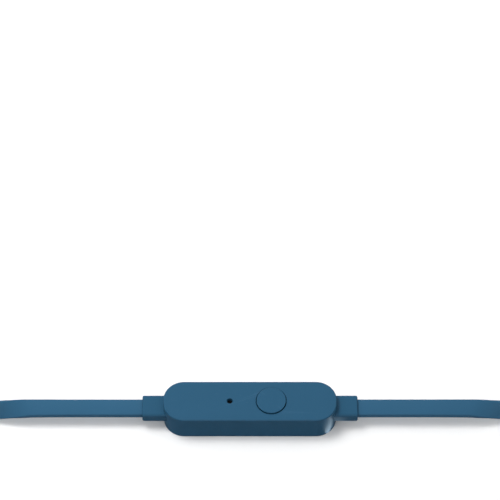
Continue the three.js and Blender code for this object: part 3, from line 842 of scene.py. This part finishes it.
def makeRibRow():
    # rings of the same section in a row along X, from one radius to another
    tree, given = newNodes("ribRow", {
        "Count": "Int", "Length": "Float", "Start Radius": "Float", "End Radius": "Float",
        "Rib Radius": "Float", "Material": "Material"})
    offset = add(tree, "ShaderNodeCombineXYZ", {"X": given["Length"]})
    line = add(tree, "GeometryNodeMeshLine", {
        "Count": given["Count"], "Offset": offset.outputs["Vector"]}, mode="END_POINTS")
    ring = add(tree, "GeometryNodeCurvePrimitiveCircle", {"Resolution": 48, "Radius": 1.0})
    upright = add(tree, "GeometryNodeTransform", {
        "Geometry": ring.outputs["Curve"], "Rotation": (0, pi / 2, 0)})
    index = add(tree, "GeometryNodeInputIndex").outputs["Index"]
    share = calculate(tree, "DIVIDE", index, calculate(tree, "SUBTRACT", given["Count"], 1))
    change = calculate(tree, "SUBTRACT", given["End Radius"], given["Start Radius"])
    radius = calculate(tree, "ADD", calculate(tree, "MULTIPLY", share, change), given["Start Radius"])
    row = add(tree, "GeometryNodeInstanceOnPoints", {
        "Points": line.outputs["Mesh"], "Instance": upright.outputs["Geometry"], "Scale": radius})
    curves = add(tree, "GeometryNodeRealizeInstances", {"Geometry": row.outputs["Instances"]})
    section = add(tree, "GeometryNodeCurvePrimitiveCircle", {
        "Resolution": 10, "Radius": given["Rib Radius"]})
    solid = add(tree, "GeometryNodeCurveToMesh", {
        "Curve": curves.outputs["Geometry"], "Profile Curve": section.outputs["Curve"]})
    return finishNodes(tree, given, solid.outputs["Mesh"])


def makeWires(tree, given, turn, lift):
    # a set of parallel wires, each as long as the disc is there
    radius = given["Radius"]
    reach = calculate(tree, "MULTIPLY", radius, 0.94)
    start = add(tree, "ShaderNodeCombineXYZ", {"Y": calculate(tree, "MULTIPLY", reach, -1)})
    end = add(tree, "ShaderNodeCombineXYZ", {"Y": reach})
    line = add(tree, "GeometryNodeMeshLine", {
        "Start Location": start.outputs["Vector"], "Offset": end.outputs["Vector"],
        "Count": given["Wires"]}, mode="END_POINTS")
    wire = add(tree, "GeometryNodeMeshCylinder", {
        "Vertices": 6, "Depth": 2.0, "Radius": given["Wire Radius"]})
    lying = add(tree, "GeometryNodeTransform", {
        "Geometry": wire.outputs["Mesh"], "Rotation": (0, pi / 2, 0)})
    position = add(tree, "GeometryNodeInputPosition").outputs["Position"]
    across = add(tree, "ShaderNodeSeparateXYZ", {"Vector": position}).outputs["Y"]
    square = calculate(tree, "MULTIPLY", across, across)
    left = calculate(tree, "SUBTRACT", calculate(tree, "MULTIPLY", radius, radius), square)
    scale = add(tree, "ShaderNodeCombineXYZ", {"X": calculate(tree, "SQRT", left), "Y": 1.0, "Z": 1.0})
    wires = add(tree, "GeometryNodeInstanceOnPoints", {
        "Points": line.outputs["Mesh"], "Instance": lying.outputs["Geometry"],
        "Scale": scale.outputs["Vector"]})
    rise = calculate(tree, "MULTIPLY", given["Wire Radius"], lift)
    raised = add(tree, "ShaderNodeCombineXYZ", {"Z": rise})
    crossed = add(tree, "GeometryNodeTransform", {
        "Geometry": wires.outputs["Instances"], "Translation": raised.outputs["Vector"],
        "Rotation": (0, 0, turn)})
    return crossed.outputs["Geometry"]


def makeWovenDisc():
    # two crossed sets of wires, cut to a disc and standing one on the other
    tree, given = newNodes("wovenDisc", {
        "Radius": "Float", "Wires": "Int", "Wire Radius": "Float", "Material": "Material"})
    both = add(tree, "GeometryNodeJoinGeometry")
    for turn, lift in ((0, -0.7), (pi / 2, 0.7)):
        tree.links.new(makeWires(tree, given, turn, lift), both.inputs["Geometry"])
    return finishNodes(tree, given, both.outputs["Geometry"])


trees = {"ribRow": makeRibRow(), "wovenDisc": makeWovenDisc()}


def grown(name, treeName, values):
    # a plain mesh of what the tree makes from the given sizes
    mesh = bpy.data.meshes.new(name)
    piece = bpy.data.objects.new(name, mesh)
    bpy.context.scene.collection.objects.link(piece)
    modifier = piece.modifiers.new(treeName, "NODES")
    modifier.node_group = trees[treeName]
    for item in trees[treeName].interface.items_tree:
        if item.in_out == "INPUT":
            modifier[item.identifier] = values[item.name]
    bakeModifiers(piece)
    return piece


def joinInto(piece, other):
    made = bmesh.new()
    made.from_mesh(piece.data)
    made.from_mesh(other.data)
    made.to_mesh(piece.data)
    made.free()
    remove(other)


def addRibs(piece, ribs, slotName):
    # ribs are a count, the first and last place along X, the two radii there and a rib's own radius
    count, start, end, startRadius, endRadius, ribRadius = ribs
    row = grown("ribs", "ribRow", {
        "Count": count, "Length": (end - start) * mm, "Start Radius": startRadius * mm,
        "End Radius": endRadius * mm, "Rib Radius": ribRadius * mm, "Material": finishes[slotName]})
    move(row, x=start)
    tidyNormals(row, 60)
    joinInto(piece, row)


def wovenScreen(name, radius, weave, slotName):
    return grown(name, "wovenDisc", {
        "Radius": (radius - weave["gap"]) * mm, "Wires": weave["wires"],
        "Wire Radius": weave["wireRadius"] * mm,
        "Material": finishes[slotName]})


# earpieces, along their own axis: 0 is the seam between the rear cover and the front housing

ear = {
    "steps": 96,
    "ribs": (4, -9.1, -6.1, 1.42, 1.76, 0.22),
    "screenRadius": 1.4,
    "screenRim": 0.12,
    "screenHalf": 0.07,
    "weave": {"wires": 17, "wireRadius": 0.035, "gap": 0.02},  # gap: from the rim's outside
}
earProfiles = {
    "rear_cover": ("navy_plastic", [
        (0, -5), (2.3, -5, 0.05), (2.4, -4.85, 0.05), (2.6, -4.85, 0.05), (2.7, -4.97, 0.05),
        (4.6, -4.6, 1.2), (5.5, -2.4, 1.2), (5.5, -0.05, 0.12), (4.7, -0.05), (4.7, -1.5, 0.4),
        (4.1, -2.7, 0.8), (3, -3.6, 0.6), (0, -4.2)]),
    "front_housing": ("navy_plastic", [
        (4.7, 0.05), (5.5, 0.05, 0.12), (5.5, 2, 1), (4.4, 3.9, 1), (2.1, 5.1, 0.8), (2.1, 9.6),
        (2.3, 10.1, 0.2), (2.1, 10.8, 0.15), (1.5, 10.8), (1.5, 4.7, 0.3), (3.2, 3.7, 0.3), (4.7, 1.9, 0.4)]),
    "tip": ("tip_silicone", [
        (2.4, 6), (3, 6, 0.15), (3, 10, 0.5), (4.2, 9.9, 0.6), (5.1, 8.7, 0.6), (5.5, 7.2, 0.6), (5.5, 5.4),
        (5.75, 5.2, 0.1), (6, 5.4, 0.15), (6, 7.1, 1.2), (5.4, 9.8, 1.2), (3.8, 11.6, 1), (2.6, 11.8, 0.25),
        (2.4, 11.5)]),
    "strain_relief": ("black_rubber", [
        (0, -9.6), (1.05, -9.6, 0.15), (1.4, -9.25, 0.2), (1.9, -5.05), (0, -5.05)]),
    "driver_frame": ("black_plastic", [
        (3.5, -0.8), (4.5, -0.8, 0.1), (4.5, 1.2, 0.1), (4, 1.2), (3.5, 0.4)]),
    "driver_magnet": ("bright_steel", [
        (0, -1.4), (3.15, -1.4, 0.25), (3.15, 0.15, 0.1), (0, 0.15)]),
}


def makeEarScreen(name, y, z):
    low, high = boxOf(f"{name}_nozzle_mesh")
    x, radius, rim, half = (low.x + high.x) / 2, ear["screenRadius"], ear["screenRim"], ear["screenHalf"]
    screen = wovenScreen(f"{name}_nozzle_screen", radius, ear["weave"], "bright_steel")
    screen.data.transform(Matrix.Rotation(pi / 2, 4, "Y"))
    edge = turned("screenRim", [
        (radius, -half), (radius, half), (radius - rim, half), (radius - rim, -half)], 48, "x")
    joinInto(screen, edge)
    move(screen, x, y, z)
    tidyNormals(screen)
    fit(screen, root, "bright_steel", f"{name}_nozzle_mesh")


def makeEarpiece(name, towards):
    coverLow, coverHigh = boxOf(f"{name}_rear_cover")
    frontLow, frontHigh = boxOf(f"{name}_front_housing")
    seam = (coverHigh.x + frontLow.x) / 2 if towards > 0 else (coverLow.x + frontHigh.x) / 2
    y, z = (coverLow.y + coverHigh.y) / 2, (coverLow.z + coverHigh.z) / 2
    turn = 0 if towards > 0 else pi
    for part, (slotName, corners) in earProfiles.items():
        ring = corners[0][0] > 0
        piece = turned(f"{name}_{part}_fine", smoothProfile(corners, ring, 5), ear["steps"], "x")
        if part == "strain_relief":
            addRibs(piece, ear["ribs"], slotName)
        tidyNormals(piece)
        move(piece, seam, y, z, turn)
        fit(piece, root, slotName, f"{name}_{part}")
    makeEarScreen(name, y, z)


makeEarpiece("left_ear", 1)
makeEarpiece("right_ear", -1)


# plug, from the cable's end at 0 to its tip

plug = {
    "steps": 96,
    "edge": 0.06,
    "bore": 0.7,
    "ribs": {
        "plug_strain_relief": (6, 1.2, 5.9, 2.14, 2.42, 0.2),
        "plug_handle": (7, 9.5, 14.3, 2.95, 2.95, 0.18),
    },
}
plugShapes = {
    "plug_strain_relief": ("navy_relief", [(0, 0), (1.85, 0, 0.25), (2.1, 0.4, 0.2), (2.5, 7, 0.1), (0, 7)]),
    "plug_handle": ("navy_plastic", [
        (0, 7.05), (2.4, 7.05, 0.1), (3, 7.75, 0.3), (3, 21.3, 0.6), (2.55, 22.6, 0.3), (2.2, 23.05, 0.08),
        (0, 23.05)]),
    "plug_tip": ("gold_plate", [
        (0, 23.1), (0.6, 23.1), (0.6, 34.5), (1.75, 34.5, 0.05), (1.75, 35, 0.2), (1.2, 35.72, 0.12),
        (1.2, 35.95, 0.12), (1.62, 36.55, 0.35), (1.5, 37.3, 0.4), (0.8, 38.1, 0.4), (0, 38.2)]),
}
plugBands = {
    "plug_collar": "bright_steel", "plug_sleeve": "gold_plate", "plug_insulator_base": "black_plastic",
    "plug_ring_inner": "gold_plate", "plug_insulator_middle": "black_plastic",
    "plug_ring_outer": "gold_plate", "plug_insulator_tip": "black_plastic",
}


def makePlug():
    low, high = boxOf("plug_strain_relief")
    y, z = (low.y + high.y) / 2, (low.z + high.z) / 2
    start = high.x
    for node, (slotName, corners) in plugShapes.items():
        piece = turned(node + "_fine", smoothProfile(corners, False, 5), plug["steps"], "x")
        if node in plug["ribs"]:
            addRibs(piece, plug["ribs"][node], slotName)
        tidyNormals(piece)
        move(piece, start, y, z, pi)
        fit(piece, root, slotName, node)
    for node, slotName in plugBands.items():
        bandLow, bandHigh = boxOf(node)
        radius, edge, bore = (bandHigh.z - bandLow.z) / 2, plug["edge"], plug["bore"]
        profile = smoothProfile([
            (bore, bandLow.x), (radius, bandLow.x, edge),
            (radius, bandHigh.x, edge), (bore, bandHigh.x)], True)
        piece = move(turned(node + "_fine", profile, plug["steps"], "x"), y=y, z=z)
        fit(piece, root, slotName, node)


makePlug()


# splitter and ties

splitter = {
    "corner": 1.5,
    "edge": 0.7,
    "recess": 0.7,
    "slack": 0.06,
    "groove": (1.1, 0.5, 0.2),  # width, height and rounding of the bar that cuts it
}


def makeSplitter():
    low, high = boxOf("cable_splitter")
    x, y = (low.x + high.x) / 2, (low.y + high.y) / 2
    width, length, height = high - low
    block = roundedBlock("cableSplitter", width, length, splitter["corner"], 0, height,
                         splitter["edge"], splitter["edge"], 12)
    slack, deep = splitter["slack"], splitter["recess"]
    mouths = [(1, cable, cable["onEdge"]), (-1, branch, branch["low"]), (-1, branch, branch["high"])]
    for side, size, z in mouths:
        mouth = barAlongX("cutter", [
            (a, size["thickness"] + 2 * slack, size["width"] + 2 * slack, size["corner"] + slack, z)
            for a in (length / 2 - deep, length / 2 + past)])
        combine(block, move(mouth, turn=side * pi / 2))
    groove = barAlongX("cutter", [(a, *splitter["groove"], height) for a in (-length / 5, length / 5)])
    combine(block, move(groove, turn=pi / 2))
    flatFaces(block)
    move(block, x, y)
    fit(block, root, "navy_plastic", "cable_splitter")


tie = {
    "wall": 0.5,
    "innerCorner": 0.3,
    "outerCorner": 0.8,
    "bevel": 0.15,
    "foot": 0.02,  # how far outside its inner outline its rubber starts
    "ridge": 0.12,
    "ridgeTop": 0.45,
    "ridgeFoot": 0.6,
}


def makeTie(node):
    # a rubber strap round the turns, with a ridge along each edge
    low, high = boxOf(node)
    wall, bevel, half = tie["wall"], tie["bevel"], (high.x - low.x) / 2
    outside = [
        (half - tie["ridgeFoot"], wall - tie["ridge"]), (half - tie["ridgeTop"], wall),
        (half - bevel, wall), (half, wall - bevel), (half, bevel), (half - bevel, tie["foot"]),
    ]
    section = [(-x, rise) for x, rise in outside[3::-1]] + outside
    section += [(-x, rise) for x, rise in outside[:3:-1]]
    deep, tall = high.y - low.y - 2 * wall, high.z - low.z - 2 * wall
    middleY, middleZ = (low.y + high.y) / 2, (low.z + high.z) / 2
    outer = roundedOutline(deep + 2 * wall, tall + 2 * wall, tie["outerCorner"], 10)
    inner = roundedOutline(deep, tall, tie["innerCorner"], 10)
    rings = []
    for (outY, outZ), (inY, inZ) in zip(outer, inner):
        ring = []
        for x, rise in section:
            share = rise / wall
            ring.append((x, middleY + inY + (outY - inY) * share, middleZ + inZ + (outZ - inZ) * share))
        rings.append(ring)
    strap = loft(node + "_strap", rings, 50, loop=True)
    move(strap, x=(low.x + high.x) / 2)
    fit(strap, root, "black_rubber", node)


makeSplitter()
for tieNode in ("main_tie_back", "main_tie_front", "branch_tie_back", "branch_tie_front"):
    makeTie(tieNode)


# inside the remote and the earpieces

microphone = {"rim": 0.2, "half": 0.06, "weave": {"wires": 19, "wireRadius": 0.03, "gap": 0.1}}


def makeMicrophoneScreen():
    low, high = boxOf("microphone_mesh")
    radius, rim, half = (high.x - low.x) / 2, microphone["rim"], microphone["half"]
    screen = wovenScreen("microphoneScreen", radius, microphone["weave"], "black_plastic")
    edge = turned("screenRim", [
        (radius, -half), (radius, half), (radius - rim, half), (radius - rim, -half)], 64)
    joinInto(screen, edge)
    tidyNormals(screen)
    move(screen, (low.x + high.x) / 2, 0, (low.z + high.z) / 2)
    fit(screen, root, "black_plastic", "microphone_mesh")


dome = {"sheet": 0.08, "rings": 10, "steps": 64, "pressed": 0.45}


def makeDome():
    # the switch's sprung disc, made in its resting dome shape; the plunger flattens the real one
    low, high = boxOf("switch_dome")
    x, radius, rise = (low.x + high.x) / 2, (high.x - low.x) / 2, high.z - low.z - dome["sheet"]
    lower, upper = [], []
    for ring in range(dome["rings"] + 1):
        share = ring / dome["rings"]
        height = low.z + rise * (1 - share ** 2)
        lower.append((radius * share, height))
        upper.append((radius * share, height + dome["sheet"]))
    disc = turned("switchDome", lower + upper[::-1], dome["steps"])
    move(disc, x=x)
    fit(disc, root, "bright_steel", "switch_dome")
    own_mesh(disc)


signals = ("left", "right", "ground", "microphone")
insideNodes = {
    "board": ["circuit_board"],
    "black_plastic": ["switch_base", "switch_plunger", "resistor"],
    "bright_steel": ["switch_cover_plate", "microphone_can"],
    "black_rubber": ["microphone_boot"],
    "ceramic_chip": ["capacitor"],
    "copper_wire": [f"{signal}_wire_to_plug" for signal in signals]
    + [f"{signal}_wire_to_ears" for signal in signals[:3]],
    "diaphragm_film": ["left_ear_driver_diaphragm", "right_ear_driver_diaphragm"],
}

makeMicrophoneScreen()
makeDome()
for slotName, nodes in insideNodes.items():
    for node in nodes:
        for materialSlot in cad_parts[node].material_slots:
            materialSlot.material = finishes[slotName]


# cords

cordDetails = {
    "rightCable": {
        "replaces": ["right_cable", "main_hank"], "from": "right_strain_relief", "far": "plug",
        "lay": "coiled", "with": ["main_tie_back", "main_tie_front", *plugShapes, *plugBands],
    },
    "leftCable": {
        "replaces": ["left_cable"], "from": "left_strain_relief", "far": "fitting",
        "lay": "loose", "with": ["cable_splitter"],
    },
    "outerBranch": {
        "replaces": ["branch_hank"], "from": "cable_splitter", "far": "object",
        "lay": "coiled", "with": ["branch_tie_back", "branch_tie_front"],
    },
    "innerBranch": {
        "replaces": ["branch_hank"], "from": "cable_splitter", "far": "object",
        "lay": "coiled", "with": [],
    },
}


def declareCords():
    for name, detail in cordDetails.items():
        piece, path, length, width = cordPieces[name]
        fit(piece, root, "navy_cable", *detail["replaces"])


declareCords()


# floor, light and background

room = {
    "floor": 1.2,
    "floorTone": 0.87,
    "sky": 0.55,  # even light from all round, and what is added to it from each side
    "skyFromLeft": 0.06,
    "skyFromBack": 0.1,
    "skyFromAbove": 0.45,
    "skyShine": 0.7,  # the share of it that shiny surfaces see
}
lamps = {
    # the key light, which gives the shadows but no glare
    "overhead": {"place": (-0.085, 0.032, 0.25), "size": (0.095, 0.095), "power": 0.38, "shines": False},
    "back": {"place": (-0.15, 0.5, 0.2), "size": (0.2, 0.2), "power": 0.5},
    # seen only as a glint along the front edges
    "front": {"place": (0, -0.43, 0.25), "size": (0.3, 0.2), "power": 0.6, "lights": False},
    # a small strip on the floor that faces up at the housing's right front corner, seen only in its gloss
    "glint": {"place": (0.0179, -0.0037, 0.00015), "size": (0.004, 0.0011), "power": 0.00007,
              "colour": (0.7, 0.88, 1), "turn": radians(20), "lights": False},
}


def makeFloor():
    half = room["floor"] / 2 / mm
    corners = [(-half, -half, 0), (half, -half, 0), (half, half, 0), (-half, half, 0)]
    floor = meshPiece("floor", corners, [(0, 1, 2, 3)])
    material, tree, shader, vector = newFinish("paper", {"Roughness": 0.9, "Specular IOR Level": 0.0})
    tone = room["floorTone"]
    paper = mixColour(tree, noise(tree, vector, 900, 3), (tone,) * 3, (tone + 0.02,) * 3)
    tree.links.new(paper, shader["Base Color"])
    floor.data.materials.append(material)
    floor.visible_glossy = False  # dark to shiny surfaces, as over a black card


def makeSky():
    world = bpy.data.worlds.new("world")
    bpy.context.scene.world = world
    world.use_nodes = True
    tree = world.node_tree
    tree.nodes.clear()
    rays = add(tree, "ShaderNodeLightPath").outputs
    outward = add(tree, "ShaderNodeTexCoord").outputs["Generated"]
    direction = add(tree, "ShaderNodeSeparateXYZ", {"Vector": outward}).outputs
    shares = {"X": -room["skyFromLeft"], "Y": room["skyFromBack"], "Z": room["skyFromAbove"]}
    light = room["sky"]
    for axis, share in shares.items():
        light = calculate(tree, "ADD", light, calculate(tree, "MULTIPLY", direction[axis], share))
    dimmed = calculate(tree, "MULTIPLY", rays["Is Glossy Ray"], room["skyShine"] - 1)
    light = calculate(tree, "MULTIPLY", light, calculate(tree, "ADD", dimmed, 1))
    strength = calculate(tree, "MAXIMUM", light, rays["Is Camera Ray"])
    sky = add(tree, "ShaderNodeBackground", {"Color": (1, 1, 1, 1), "Strength": strength})
    add(tree, "ShaderNodeOutputWorld", {"Surface": sky.outputs["Background"]})


def makeLamp(name, values):
    data = bpy.data.lights.new(name, "AREA")
    data.shape = "RECTANGLE"
    data.size, data.size_y = values["size"]
    data.energy = values["power"]
    data.color = values.get("colour", (1, 1, 1))
    lamp = bpy.data.objects.new(name, data)
    lamp.location = values["place"]
    lamp.visible_camera = False
    lamp.visible_diffuse = values.get("lights", True)
    lamp.visible_glossy = values.get("shines", True)
    if "turn" in values:
        lamp.rotation_euler = (pi, 0, values["turn"])
    else:
        lamp.rotation_euler = (-lamp.location).to_track_quat("-Z", "Y").to_euler()
    bpy.context.scene.collection.objects.link(lamp)


makeFloor()
makeSky()
for lampName, lampValues in lamps.items():
    makeLamp(lampName, lampValues)
bpy.context.scene.view_settings.view_transform = "Standard"
print("floor and lights made")
